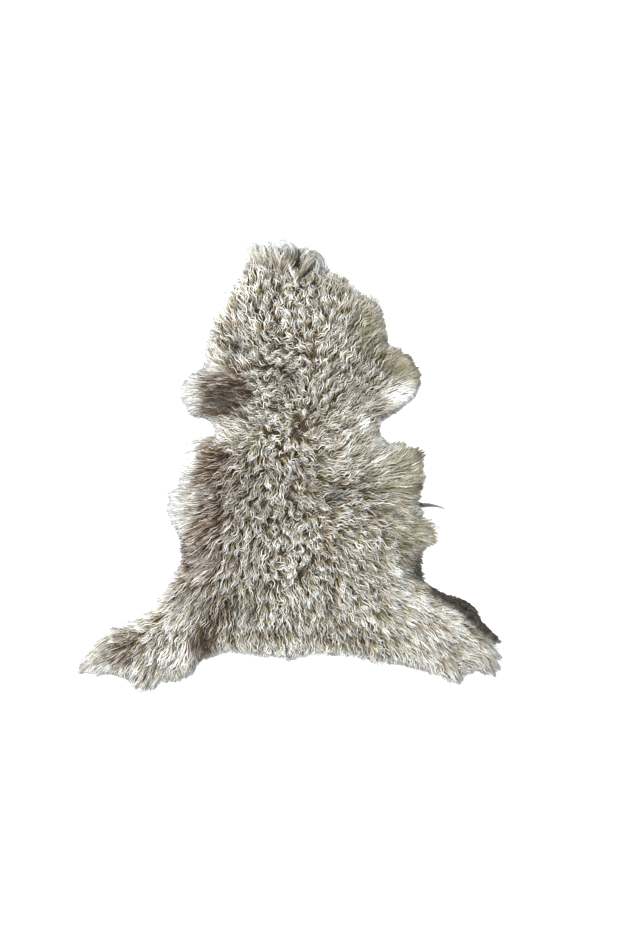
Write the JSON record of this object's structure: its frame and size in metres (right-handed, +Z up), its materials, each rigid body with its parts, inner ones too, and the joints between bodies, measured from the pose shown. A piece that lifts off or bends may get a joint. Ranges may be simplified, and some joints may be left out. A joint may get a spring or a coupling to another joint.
{
  "type": "whole sheepskin",
  "caption": "Whole tanned sheepskin lying flat with its long curly wool side up, in the natural outline of neck, legs and rump.",
  "frame": {"origin": "on the surface that the hide lies on, under the middle of the sheepskin's box", "axes": "+Z up out of the wool, +Y from the rump towards the neck, +X to the right seen from above with the neck at the top"},
  "size_m": [0.9418, 0.9908, 0.0514],
  "materials": {
    "tanned_hide": "matte suede, the flesh side of the skin",
    "wool": "curly taupe wool with cream tips and dark roots"
  },
  "bodies": {
    "root": {"hide": "tanned_hide", "fleece": "wool"}
  },
  "joints": []
}
